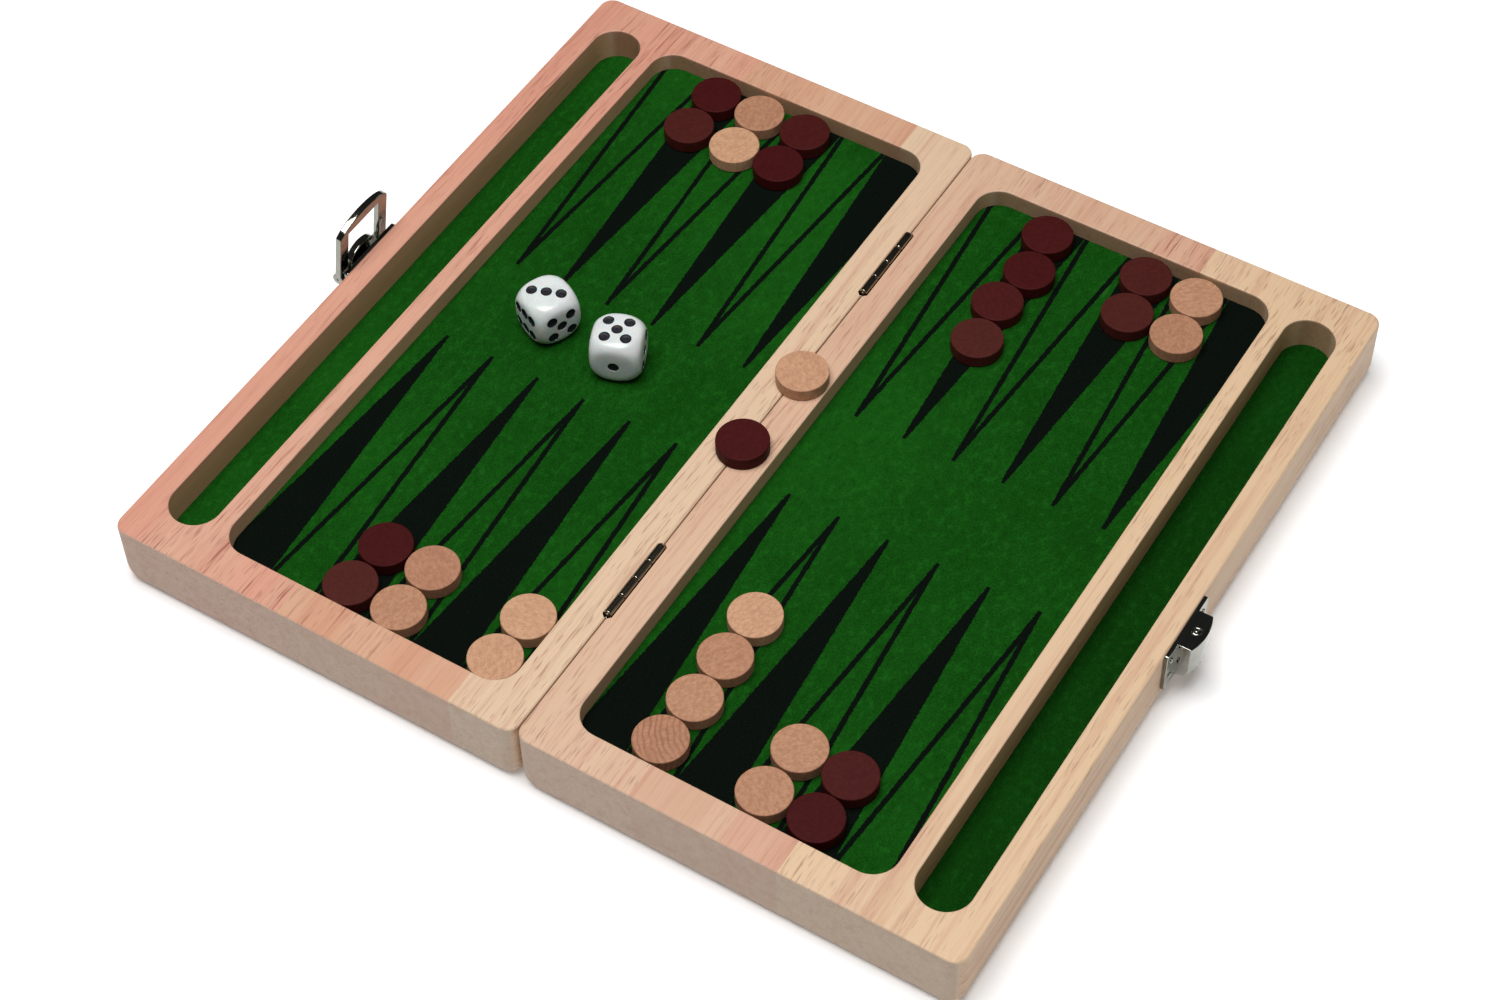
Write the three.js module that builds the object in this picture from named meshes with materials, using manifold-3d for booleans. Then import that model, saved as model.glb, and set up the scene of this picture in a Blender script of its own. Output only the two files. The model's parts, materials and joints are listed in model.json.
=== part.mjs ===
// Folding wooden backgammon set: two routed board halves on butt hinges, felt-lined playing
// fields and trays, a toggle latch, thirty checkers and two dice.
// Millimetres. X runs across the fold, Y along it, Z up from the surface it lies on.
import * as THREE from 'three';
import { mergeVertices } from 'three/addons/utils/BufferGeometryUtils.js';
import { RoundedBoxGeometry } from 'three/addons/geometries/RoundedBoxGeometry.js';
import Module from 'manifold-3d';

// Driving dimensions
const LENGTH = 270;            // board length along the fold
const HALF_WIDTH = 145;        // fold axis to outer side face
const THICK = 24.8;            // thickness of one half
const SEAM = 0.15;             // each half stops this far short of the fold axis
const PLAN_RADIUS = 4.5;       // upright corners
const EDGE_EASE = 0.5;         // softened top edge
const UNDER_SIDE = 4.8;        // underside rounding, inward from the long sides
const UNDER_END = 2.4;         // underside rounding, inward from the ends
const UNDER_RISE = 7.2;        // underside rounding, height
const FIELD = { inner: 11.1, outer: 114.15, depth: 7.0 };
const TRAY = { inner: 120.25, outer: 137.15, depth: 12.1 };
const POCKET_END = 122.9;      // pockets run from -POCKET_END to +POCKET_END
const POCKET_RADIUS = 8.4;
const FELT = 0.6;
const FELT_GAP = 0.15;         // felt outline inside the pocket wall
const LIE_GAP = 0.02;          // pieces lying on a flat face
const CHECKER_RADIUS = 8.35;
const CHECKER_THICK = 4.7;
const CHECKER_EASE = 0.35;
const DIE = 16.8;
const DIE_RADIUS = 5.0;
const HINGE_Y = { front: -71.3, back: 75.3 };
const HINGE_LENGTH = 29.4;
const KNUCKLES = 4;
const KNUCKLE_GAP = 0.2;
const BARREL_RADIUS = 1.35;
const BARREL_BORE = 0.75;
const PIN_RADIUS = 0.6;
const LEAF = { thick: 0.9, depth: 13, clear: 0.3 };
const MORTISE = { half: 1.65, length: 31.4, depth: 3.2, clip: 0.9 };
const LATCH_Y = -3.2;          // centre of latch and catch along the fold
const PLATE = { thick: 1.3, half: 13.1, height: 16, top: 0.3, radius: 0.8 };
const NAIL = { radius: 0.95, height: 0.5, y: 10.2, z: [-4.4, -11.6] };
const LEVER = { axis: [3.5, -12], barrel: 1.9, half: 6.9, thick: 2.6, top: 1.0 };
const BAIL = { axis: [5.15, -6.2], lean: 9, rise: 20.1, outer: 12.4, arm: 4.3, thick: 2.2,
  eye: 2.1, arch: 4.4 };
const CATCH = { half: 7.2, ends: 5.7, bulge: 7.25, height: 14.5 };
const RIVET = { radius: 1.6, height: 0.22, out: 3.9 };

const FOLD_Z = THICK + SEAM;   // fold axis, a hair above the top faces

const wasm = await Module();
wasm.setup();

// A closed triangle mesh from a three.js geometry
function closed(geometry) {
  geometry.deleteAttribute('normal');
  geometry.deleteAttribute('uv');
  return mergeVertices(geometry, 1e-5);
}

function toManifold(geometry) {
  const g = closed(geometry);
  return new wasm.Manifold(new wasm.Mesh({
    numProp: 3,
    vertProperties: new Float32Array(g.attributes.position.array),
    triVerts: new Uint32Array(g.index.array),
  }));
}

function fromManifold(solid) {
  const mesh = solid.getMesh();
  const geometry = new THREE.BufferGeometry();
  geometry.setAttribute('position', new THREE.BufferAttribute(mesh.vertProperties, 3));
  geometry.setIndex(new THREE.BufferAttribute(mesh.triVerts, 1));
  return geometry;
}

function joined(first, ...others) {
  return others.reduce((sum, g) => sum.add(toManifold(g)), toManifold(first));
}

// Rings of equal point counts, bottom to top, counter-clockwise seen from above
function loft(rings) {
  const n = rings[0].length;
  const index = [];
  for (let k = 0; k + 1 < rings.length; k++) {
    for (let i = 0; i < n; i++) {
      const j = (i + 1) % n;
      const a = k * n + i, b = k * n + j, c = a + n, d = b + n;
      index.push(a, b, d, a, d, c);
    }
  }
  const top = (rings.length - 1) * n;
  for (let i = 1; i + 1 < n; i++) {
    index.push(0, i + 1, i, top, top + i, top + i + 1);
  }
  const geometry = new THREE.BufferGeometry();
  geometry.setAttribute('position', new THREE.Float32BufferAttribute(rings.flat(2), 3));
  geometry.setIndex(index);
  return geometry;
}

function roundedRect(x0, x1, y0, y1, r, steps) {
  const points = [];
  const corners = [[x1 - r, y1 - r, 0], [x0 + r, y1 - r, 1], [x0 + r, y0 + r, 2],
    [x1 - r, y0 + r, 3]];
  for (const [cx, cy, quarter] of corners) {
    for (let i = 0; i <= steps; i++) {
      const a = (quarter + i / steps) * Math.PI / 2;
      points.push([cx + r * Math.cos(a), cy + r * Math.sin(a)]);
    }
  }
  return points;
}

// A flat outline raised from z0 to z1
function prism(points, z0, z1) {
  const shape = new THREE.Shape(points.map(([x, y]) => new THREE.Vector2(x, y)));
  const geometry = new THREE.ExtrudeGeometry(shape, { depth: z1 - z0, bevelEnabled: false });
  return geometry.translate(0, 0, z0);
}

// The same, standing: the outline is in the Y-Z plane and the thickness runs along X
function standing(points, x0, x1) {
  const geometry = prism(points, 0, x1 - x0);
  geometry.applyMatrix4(new THREE.Matrix4().makeBasis(new THREE.Vector3(0, 1, 0),
    new THREE.Vector3(0, 0, 1), new THREE.Vector3(1, 0, 0)));
  return geometry.translate(x0, 0, 0);
}

function circle(cx, cy, r, steps) {
  return Array.from({ length: steps }, (_, i) => {
    const a = 2 * Math.PI * i / steps;
    return [cx + r * Math.cos(a), cy + r * Math.sin(a)];
  });
}

// Outline in the X-Z plane, thickness along Y
function along(points, y0, y1) {
  const geometry = prism(points, 0, y1 - y0);
  geometry.applyMatrix4(new THREE.Matrix4().makeBasis(new THREE.Vector3(1, 0, 0),
    new THREE.Vector3(0, 0, 1), new THREE.Vector3(0, -1, 0)));
  return geometry.translate(0, y1, 0);
}

function rodY(x, z, r, y0, y1, steps) {
  return along(circle(x, z, r, steps), y0, y1);
}

function box(x0, x1, y0, y1, z0, z1) {
  return new THREE.BoxGeometry(x1 - x0, y1 - y0, z1 - z0)
    .translate((x0 + x1) / 2, (y0 + y1) / 2, (z0 + z1) / 2);
}

// Turn about a line along Y; positive takes +Z towards +X
function turnY(geometry, x, z, degrees) {
  return geometry.translate(-x, 0, -z)
    .rotateY(THREE.MathUtils.degToRad(degrees)).translate(x, 0, z);
}

// Left and right are mirror images; side is -1 or +1
const span = (side, a, b) => (side < 0 ? [-b, -a] : [a, b]);

function board(side) {
  const ring = (insetX, insetY, z) => {
    const [x0, x1] = span(side, SEAM + insetX, HALF_WIDTH - insetX);
    const half = LENGTH / 2 - insetY;
    return roundedRect(x0, x1, -half, half, PLAN_RADIUS - insetY * 0.5, 4)
      .map(([x, y]) => [x, y, z]);
  };
  const rings = [];
  for (let i = 0; i <= 4; i++) {
    const a = i / 4 * Math.PI / 2;
    rings.push(ring(UNDER_SIDE * (1 - Math.sin(a)), UNDER_END * (1 - Math.sin(a)),
      UNDER_RISE * (1 - Math.cos(a))));
  }
  rings.push(ring(0, 0, THICK - EDGE_EASE));
  rings.push(ring(EDGE_EASE, EDGE_EASE, THICK));
  let solid = toManifold(loft(rings));
  for (const pocket of [FIELD, TRAY]) {
    const outline = roundedRect(...span(side, pocket.inner, pocket.outer),
      -POCKET_END, POCKET_END, POCKET_RADIUS, 5);
    solid = solid.subtract(toManifold(prism(outline, THICK - pocket.depth, THICK + 1)));
  }
  for (const y of Object.values(HINGE_Y)) {
    const half = MORTISE.length / 2, reach = MORTISE.half, clip = MORTISE.clip;
    const outline = [[-reach, -half + clip], [-reach + clip, -half], [reach - clip, -half],
      [reach, -half + clip], [reach, half - clip], [reach - clip, half],
      [-reach + clip, half], [-reach, half - clip]].map(([x, dy]) => [x, y + dy]);
    solid = solid.subtract(toManifold(prism(outline, THICK - MORTISE.depth, THICK + 1)));
    const recess = HINGE_LENGTH / 2 + LEAF.clear;
    solid = solid.subtract(toManifold(box(...span(side, -0.5, SEAM + LEAF.thick + 0.25),
      y - recess, y + recess, THICK - LEAF.depth - LEAF.clear, THICK - 1)));
  }
  return fromManifold(solid);
}

function felt(side, pocket) {
  const [x0, x1] = span(side, pocket.inner, pocket.outer);
  const floor = THICK - pocket.depth + LIE_GAP;
  const end = POCKET_END - FELT_GAP;
  const outline = roundedRect(x0 + FELT_GAP, x1 - FELT_GAP, -end, end,
    POCKET_RADIUS - FELT_GAP, 5);
  return prism(outline, floor, floor + FELT);
}

// Knuckle slots along the barrel, from one end to the other
function knuckle(y, slot) {
  const pitch = HINGE_LENGTH / KNUCKLES;
  const start = y - HINGE_LENGTH / 2 + slot * pitch;
  return [start + KNUCKLE_GAP / 2, start + pitch - KNUCKLE_GAP / 2];
}

function hingeLeaf(side, y) {
  const half = HINGE_LENGTH / 2;
  const leafX = span(side, SEAM + 0.1, SEAM + 0.1 + LEAF.thick);
  const parts = [box(...leafX, y - half, y + half, THICK - LEAF.depth, FOLD_Z - 1.75)];
  for (let slot = side < 0 ? 0 : 1; slot < KNUCKLES; slot += 2) {
    const [y0, y1] = knuckle(y, slot);
    parts.push(box(...leafX, y0, y1, FOLD_Z - 2, FOLD_Z - 0.5));
    parts.push(rodY(0, FOLD_Z, BARREL_RADIUS, y0, y1, 16));
  }
  const bore = rodY(0, FOLD_Z, BARREL_BORE, y - half - 1, y + half + 1, 12);
  return fromManifold(joined(...parts).subtract(toManifold(bore)));
}

function checker() {
  const levels = [[CHECKER_RADIUS - CHECKER_EASE, 0], [CHECKER_RADIUS, CHECKER_EASE],
    [CHECKER_RADIUS, CHECKER_THICK - CHECKER_EASE],
    [CHECKER_RADIUS - CHECKER_EASE, CHECKER_THICK]];
  return loft(levels.map(([r, z]) => circle(0, 0, r, 28).map(([x, y]) => [x, y, z])));
}

// Latch pieces: x is the distance out from the side face, z is measured from the top face
function plate() {
  return standing(roundedRect(-PLATE.half, PLATE.half, -PLATE.top - PLATE.height, -PLATE.top,
    PLATE.radius, 3), LIE_GAP, PLATE.thick);
}

function latchPlate() {
  const [ax, az] = LEVER.axis;
  const bar = LEVER.barrel;
  const ear = [[PLATE.thick - 0.2, az - bar], [ax, az - bar], [ax + 1.3, az - 1.3],
    [ax + bar, az], [ax + 1.3, az + 1.3], [ax, az + bar], [PLATE.thick - 0.2, az + bar]];
  const ears = [-1, 1].map((s) => along(ear, ...span(s, LEVER.half + 0.3, LEVER.half + 1.5)));
  const bore = rodY(ax, az, BARREL_BORE, -12, 12, 12);
  const solid = joined(plate(), ...ears);
  // The bore stops short of the plate
  return fromManifold(solid.subtract(toManifold(bore)));
}

function latchLever() {
  const [ax, az] = LEVER.axis;
  const [bx, bz] = BAIL.axis;
  const side = LEVER.half;
  const dome = Array.from({ length: 17 }, (_, i) => {
    const a = Math.PI * i / 16;
    return [side * Math.cos(a), bz + (LEVER.top - bz) * Math.abs(Math.sin(a)) ** 0.6];
  });
  const tab = standing([...dome, [-side, bz - 1], [side, bz - 1]], bx - 1.9,
    bx - 1.9 + LEVER.thick);
  const arm = along([[ax - 1.6, az], [ax + 1.2, az - 1.4], [bx + 1.9, bz - 0.4],
    [bx + 1.9, bz + 1.1], [bx + 0.7, bz + 2.2], [bx - 1.9, bz + 2.2]], -side, side);
  const barrel = rodY(ax, az, LEVER.barrel, -side, side, 16);
  const bores = [rodY(ax, az, BARREL_BORE, -side - 1, side + 1, 12),
    rodY(bx, bz, BARREL_BORE, -side - 1, side + 1, 12)];
  return fromManifold(bores.reduce((s, b) => s.subtract(toManifold(b)),
    joined(tab, arm, barrel)));
}

// A flat loop: two arms on round eyes, joined by a bar with an arched outer edge
function latchBail() {
  const [bx, bz] = BAIL.axis;
  const { rise, outer, arm, thick, eye, arch } = BAIL;
  const inner = outer - arm;
  const edge = Array.from({ length: 17 }, (_, i) => {
    const t = 1 - i / 8;
    return [t * outer, bz + rise + arch * (1 - t * t) ** 0.6];
  });
  const loop = standing([[outer, bz], ...edge, [-outer, bz], [-inner, bz],
    [-inner, bz + rise], [inner, bz + rise], [inner, bz]], bx - thick / 2, bx + thick / 2);
  const eyes = [-1, 1].map((s) => rodY(bx, bz, eye, ...span(s, inner, outer), 16));
  const bore = rodY(bx, bz, BARREL_BORE, -outer - 1, outer + 1, 12);
  const solid = joined(loop, ...eyes).subtract(toManifold(bore));
  return turnY(fromManifold(solid), bx, bz, -BAIL.lean);
}

function catchBox() {
  const outline = (shrink) => {
    const arc = Array.from({ length: 11 }, (_, i) => {
      const t = i / 5 - 1;
      const out = CATCH.ends + (CATCH.bulge - CATCH.ends) * (1 - t * t);
      return [out - shrink, t * (CATCH.half - shrink * 0.15)];
    });
    return [[PLATE.thick - 0.3, -CATCH.half], ...arc, [PLATE.thick - 0.3, CATCH.half]];
  };
  const levels = [[3.2, -CATCH.height], [1.2, 1 - CATCH.height], [0.3, 2.6 - CATCH.height],
    [0, 4.5 - CATCH.height], [0, -0.2], [0.25, 0]];
  const body = loft(levels.map(([shrink, z]) => outline(shrink)
    .map(([x, y]) => [x, y, z - PLATE.top])));
  return fromManifold(joined(plate(), body));
}

// A low dome standing along +X or +Z
function dome(r, h, steps) {
  const levels = [[r, 0], [r, h * 0.4], [r * 0.6, h]];
  return loft(levels.map(([q, z]) => circle(0, 0, q, steps).map(([x, y]) => [x, y, z])));
}

function rivet() {
  const ring = dome(RIVET.radius, RIVET.height, 20);
  const hollow = prism(circle(0, 0, RIVET.radius * 0.5, 16), RIVET.height * 0.45, 1);
  const centre = prism(circle(0, 0, RIVET.radius * 0.24, 12), 0.05, RIVET.height * 0.8);
  return fromManifold(toManifold(ring).subtract(toManifold(hollow)).add(toManifold(centre)));
}

// Moves a latch piece to its side of the set: -1 left, +1 right
function onSide(geometry, side) {
  if (side < 0) geometry.rotateZ(Math.PI);
  return geometry.translate(side * HALF_WIDTH, LATCH_Y, THICK);
}

const COLOURS = {
  left_wood: [0xdda68a, 0.55, 0],
  right_wood: [0xdfbc9a, 0.55, 0],
  felt: [0x0b5a10, 0.95, 0],
  dark: [0x4a1518, 0.5, 0],
  light: [0xc8976c, 0.55, 0],
  white: [0xeef2f0, 0.15, 0],
  nickel: [0x8d8f8a, 0.3, 1],
  chrome: [0xb9bcb8, 0.15, 1],
};

const root = new THREE.Group();
function add(name, geometry, colour, position = [0, 0, 0], turn = 0, parent = root) {
  const [hex, roughness, metalness] = COLOURS[colour];
  const material = new THREE.MeshStandardMaterial({ color: hex, roughness, metalness });
  const mesh = new THREE.Mesh(closed(geometry), material);
  mesh.name = name;
  mesh.position.set(...position);
  mesh.rotation.z = THREE.MathUtils.degToRad(turn);
  parent.add(mesh);
}

for (const [side, name] of [[-1, 'left'], [1, 'right']]) {
  add(`${name}_board`, board(side), `${name}_wood`);
  add(`${name}_field_felt`, felt(side, FIELD), 'felt');
  add(`${name}_tray_felt`, felt(side, TRAY), 'felt');
  for (const [where, y] of Object.entries(HINGE_Y)) {
    add(`hinge_${where}_${name}_leaf`, hingeLeaf(side, y), 'nickel');
  }
}
for (const [where, y] of Object.entries(HINGE_Y)) {
  const half = HINGE_LENGTH / 2 + 0.3;
  add(`hinge_${where}_pin`, rodY(0, FOLD_Z, PIN_RADIUS, y - half, y + half, 12), 'nickel');
}

// Latch on the left side face, catch on the right one
add('latch_plate', onSide(latchPlate(), -1), 'chrome');
add('latch_lever', onSide(latchLever(), -1), 'chrome');
add('latch_bail', onSide(latchBail(), -1), 'chrome');
const lugs = LEVER.half + 1.5;
add('latch_lever_pin', onSide(rodY(...LEVER.axis, PIN_RADIUS, -lugs, lugs, 12), -1), 'chrome');
add('latch_bail_pin',
  onSide(rodY(...BAIL.axis, PIN_RADIUS, -BAIL.outer, BAIL.outer, 12), -1), 'chrome');
add('catch_box', onSide(catchBox(), 1), 'chrome');
add('catch_rivet',
  onSide(rivet().translate(RIVET.out, 0, LIE_GAP - PLATE.top), 1), 'chrome');
for (const [side, name] of [[-1, 'latch'], [1, 'catch']]) {
  let count = 0;
  for (const y of [-NAIL.y, NAIL.y]) {
    for (const z of NAIL.z) {
      const head = dome(NAIL.radius, NAIL.height, 12).rotateY(Math.PI / 2);
      head.translate(PLATE.thick + LIE_GAP, y, z);
      count += 1;
      add(`${name}_nail_${count}`, onSide(head, side), 'chrome');
    }
  }
}

// Checkers: x and y of each centre; the last of each colour lies on the bar between the fields
const FIELD_TOP = THICK - FIELD.depth + LIE_GAP + FELT + LIE_GAP;
const CHECKERS = {
  dark: [[-88.2, 114.4], [-88.4, 97.5], [-53.7, 114.4], [-53.75, 97.5], [-71.6, -97],
    [-72.2, -114], [37.3, 114.4], [39.7, 97.7], [37.3, 81], [39.35, 64.2], [72.6, 114.4],
    [74.6, 97.6], [88.1, -96.3], [87, -113.2], [1, -12.8]],
  light: [[-71.25, 114.35], [-70.6, 97.4], [-54.6, -97], [-54.8, -113.95], [-20.3, -97.15],
    [-20.4, -114.05], [90.4, 114.4], [91.8, 97.5], [36.1, -62.7], [36.35, -79.6],
    [36.6, -96.45], [35.9, -113.35], [71.2, -95.8], [70.1, -113.1], [2.4, 19.8]],
};
for (const [colour, places] of Object.entries(CHECKERS)) {
  places.forEach(([x, y], i) => {
    const z = i === places.length - 1 ? THICK + LIE_GAP : FIELD_TOP;
    add(`checker_${colour}_${String(i + 1).padStart(2, '0')}`, checker(), colour, [x, y, z]);
  });
}

// Dice: centre and turn about Z in degrees
const DICE = [[-80.4, 2.6, 66], [-52.8, 0.75, 22]];
DICE.forEach(([x, y, turn], i) => {
  add(`die_${i + 1}`, new RoundedBoxGeometry(DIE, DIE, DIE, 2, DIE_RADIUS), 'white',
    [x, y, FIELD_TOP + DIE / 2], turn);
});

export default root;
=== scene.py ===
"""A folding wooden backgammon set, open and set out for play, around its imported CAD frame.

Blender works in metres; lengths below are in millimetres unless they come from the frame,
and mesh helpers turn them into metres. X runs across the fold, Y along it, Z up.
"""
import json
import math
import random

import bmesh
import bpy
from mathutils import Matrix, Vector


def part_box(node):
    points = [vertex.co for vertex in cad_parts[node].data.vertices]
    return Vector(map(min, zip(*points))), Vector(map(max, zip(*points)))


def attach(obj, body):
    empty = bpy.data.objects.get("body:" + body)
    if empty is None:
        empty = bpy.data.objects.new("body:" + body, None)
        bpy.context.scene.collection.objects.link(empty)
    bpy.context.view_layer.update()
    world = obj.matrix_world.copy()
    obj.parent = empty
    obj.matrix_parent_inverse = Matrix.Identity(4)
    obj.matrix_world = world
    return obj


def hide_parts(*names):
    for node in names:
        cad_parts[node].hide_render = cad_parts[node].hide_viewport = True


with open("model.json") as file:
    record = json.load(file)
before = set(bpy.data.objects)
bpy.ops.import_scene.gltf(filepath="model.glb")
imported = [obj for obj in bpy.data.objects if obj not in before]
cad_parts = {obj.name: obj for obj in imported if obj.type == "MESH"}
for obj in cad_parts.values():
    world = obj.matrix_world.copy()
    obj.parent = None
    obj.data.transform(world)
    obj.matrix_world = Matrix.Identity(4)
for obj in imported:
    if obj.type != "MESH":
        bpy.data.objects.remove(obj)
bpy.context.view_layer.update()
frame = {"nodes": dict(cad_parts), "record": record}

MM = 0.001


def node_box(name):
    """Lowest and highest corner of a CAD node, in millimetres."""
    low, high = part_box(name)
    return low / MM, high / MM


def node_centre(name):
    low, high = node_box(name)
    return (low + high) / 2


BOARD_LOW, BOARD_HIGH = node_box("right_board")
TOP = BOARD_HIGH.z
HALF_LENGTH = BOARD_HIGH.y
HALF_WIDTH = BOARD_HIGH.x
SEAM = BOARD_LOW.x
FELT_GAP = 0.15          # felt outline inside its pocket's wall
LIE_GAP = 0.02           # between pieces that lie on each other
POCKET_END = node_box("left_field_felt")[1].y + FELT_GAP

# ---------------------------------------- camera and light

CAMERA_TARGET = (13.19, -28.46, TOP)
CAMERA_AZIMUTH = math.radians(32.898)
CAMERA_ELEVATION = math.radians(51.569)
CAMERA_ROLL = math.radians(-1.566)
CAMERA_DISTANCE = 911.3
CAMERA_LENS = 73.21
CAMERA_SENSOR = 36
WORLD_STRENGTH = 0.035
# Each lamp's place, its width and height, all in metres, and its power in watts
LAMPS = {
    "overhead": ((-0.04, -0.14, 1.22), (0.9, 0.8), 20.6),
    "front_fill": ((0.3, -1.3, 0.45), (0.9, 0.5), 0.3),
    "right_fill": ((1.4, 0.2, 0.45), (0.9, 0.5), 1.0),
    "left_fill": ((-1.4, -0.3, 0.5), (0.9, 0.5), 1.5),
    "back_fill": ((0.3, 1.4, 0.4), (0.9, 0.4), 1.2),
}


def make_camera():
    data = bpy.data.cameras.new("camera")
    data.lens = CAMERA_LENS
    data.sensor_width = CAMERA_SENSOR
    data.clip_start = 0.05
    data.clip_end = 50
    camera = bpy.data.objects.new("camera", data)
    bpy.context.scene.collection.objects.link(camera)
    flat = math.cos(CAMERA_ELEVATION)
    back = Vector((math.sin(CAMERA_AZIMUTH) * flat, -math.cos(CAMERA_AZIMUTH) * flat,
                   math.sin(CAMERA_ELEVATION)))
    right = Vector((math.cos(CAMERA_AZIMUTH), math.sin(CAMERA_AZIMUTH), 0))
    up = back.cross(right)
    turn = Matrix((right, up, back)).transposed() @ Matrix.Rotation(CAMERA_ROLL, 3, "Z")
    place = (Vector(CAMERA_TARGET) + back * CAMERA_DISTANCE) * MM
    camera.matrix_world = Matrix.Translation(place) @ turn.to_4x4()
    bpy.context.scene.camera = camera


def area_light(name, place, size, watts):
    """A rectangular lamp that faces the middle of the set."""
    data = bpy.data.lights.new(name, "AREA")
    data.shape = "RECTANGLE"
    data.size, data.size_y = size
    data.energy = watts
    light = bpy.data.objects.new(name, data)
    bpy.context.scene.collection.objects.link(light)
    light.location = place
    light.rotation_euler = (-Vector(place)).to_track_quat("-Z", "Y").to_euler()


def make_light():
    for name, (place, size, watts) in LAMPS.items():
        area_light(name, place, size, watts)
    world = bpy.data.worlds.new("studio")
    world.use_nodes = True
    background = world.node_tree.nodes["Background"]
    background.inputs["Color"].default_value = (1, 1, 1, 1)
    background.inputs["Strength"].default_value = WORLD_STRENGTH
    bpy.context.scene.world = world
    bpy.context.scene.view_settings.view_transform = "Standard"


# ---------------------------------------- shaders

def srgb(red, green, blue):
    """A colour from its 0-255 screen values, as linear numbers with alpha."""
    def linear(c):
        c /= 255
        return c / 12.92 if c <= 0.04045 else ((c + 0.055) / 1.055) ** 2.4
    return (linear(red), linear(green), linear(blue), 1)


class Shader:
    """A Principled material made node by node; each helper returns the socket that it makes."""

    def __init__(self, name, **sockets):
        self.material = bpy.data.materials.new(name)
        self.material.use_nodes = True
        self.tree = self.material.node_tree
        self.surface = self.tree.nodes["Principled BSDF"]
        for socket, value in sockets.items():
            self.surface.inputs[socket.replace("_", " ")].default_value = value
        self.coordinates = self.tree.nodes.new("ShaderNodeTexCoord")
        self.place = self.coordinates.outputs["Object"]
        split = self.node("SeparateXYZ", {"Vector": self.place})
        self.x, self.y, self.z = split.outputs

    def put(self, socket, value):
        if isinstance(value, bpy.types.NodeSocket):
            self.tree.links.new(value, socket)
        elif value is not None:
            socket.default_value = value

    def node(self, kind, inputs, **settings):
        made = self.tree.nodes.new("ShaderNode" + kind)
        for key, value in settings.items():
            setattr(made, key, value)
        for key, value in inputs.items():
            self.put(made.inputs[key], value)
        return made

    def math(self, operation, a, b=None, c=None, clamp=False):
        made = self.node("Math", {0: a, 1: b, 2: c}, operation=operation, use_clamp=clamp)
        return made.outputs[0]

    def noise(self, stretch, detail, roughness, seed=0.0, place=None):
        """Noise with this many features a metre along each axis."""
        moved = self.node("Mapping", {"Vector": place or self.place, "Scale": stretch})
        made = self.node("TexNoise", {}, noise_dimensions="4D")
        self.put(made.inputs["Vector"], moved.outputs[0])
        self.put(made.inputs["W"], seed)
        for key, value in {"Scale": 1.0, "Detail": detail, "Roughness": roughness}.items():
            made.inputs[key].default_value = value
        return made.outputs["Fac"]

    def step(self, value, low, high, to_low=0.0, to_high=1.0):
        """Smoothly from to_low to to_high as value goes from low to high."""
        made = self.node("MapRange", {"Value": value, "From Min": low, "From Max": high,
                                      "To Min": to_low, "To Max": to_high},
                         interpolation_type="SMOOTHSTEP")
        return made.outputs[0]

    def fade(self, value, reach, to_low=0.0, to_high=1.0):
        """A step between two distances in millimetres."""
        low, high = reach
        return self.step(value, low * MM, high * MM, to_low, to_high)

    def mix(self, share, a, b):
        made = self.node("Mix", {"Factor": share}, data_type="RGBA")
        self.put(made.inputs[6], a)
        self.put(made.inputs[7], b)
        return made.outputs[2]

    def ramp(self, value, stops):
        """Colours in bands, each from its own position up to the next."""
        made = self.node("ValToRGB", {"Fac": value})
        band = made.color_ramp
        band.interpolation = "CONSTANT"
        while len(band.elements) < len(stops):
            band.elements.new(0.5)
        for element, (position, colour) in zip(band.elements, stops):
            element.position = position
            element.color = colour
        return made

    def edge(self, low=0.12, high=0.3):
        """1 along rounded edges, where the normal points along none of the three axes."""
        split = self.node("SeparateXYZ", {"Vector": self.coordinates.outputs["Normal"]})
        sizes = [self.math("ABSOLUTE", s) for s in split.outputs]
        most = self.math("MAXIMUM", self.math("MAXIMUM", sizes[0], sizes[1]), sizes[2])
        return self.step(self.math("SUBTRACT", 1.0, most), low, high)

    def finish(self, colour, roughness, height=None, depth=0.05, strength=1.0):
        """The finished material; depth is the bump's height in millimetres."""
        self.put(self.surface.inputs["Base Color"], colour)
        self.put(self.surface.inputs["Roughness"], roughness)
        if height is not None:
            bump = self.node("Bump", {"Height": height, "Distance": depth * MM,
                                      "Strength": strength})
            self.put(self.surface.inputs["Normal"], bump.outputs[0])
        return self.material


# Glued-up staves of each half: how far right each reaches, its colour and how streaky it is
LEFT_STAVES = [(-84, srgb(197, 139, 118), 1.0), (-22.5, srgb(190, 141, 113), 0.6),
               (0, srgb(202, 175, 146), 0.3)]
RIGHT_STAVES = [(39, srgb(195, 160, 134), 0.4), (69, srgb(190, 150, 124), 0.3),
                (87, srgb(190, 141, 118), 0.95), (146, srgb(203, 173, 140), 0.25)]
STAVE_SPAN = 150         # reach of the staves' colour ramps, a little wider than a half
WOOD_CLOUD = srgb(201, 170, 143)
WOOD_BAND = srgb(171, 112, 90)
WOOD_LINE = srgb(160, 104, 80)
WOOD_STREAK = srgb(134, 66, 50)
WOOD_PORE = srgb(124, 76, 58)
# Paler rounded edges: partly wear, partly painted highlight
WOOD_EDGE_WEAR_AND_HIGHLIGHT = srgb(206, 184, 160)
# Routed pocket walls along and across the grain: the cut wood's colour, darkened partly as painted
# shade of the deep pockets
WALL_CUT_AND_SHADE_ALONG = srgb(184, 156, 112)
WALL_CUT_AND_SHADE_ACROSS = srgb(134, 110, 76)
END_PALE = srgb(174, 158, 142)
END_DARK = srgb(140, 125, 109)
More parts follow.
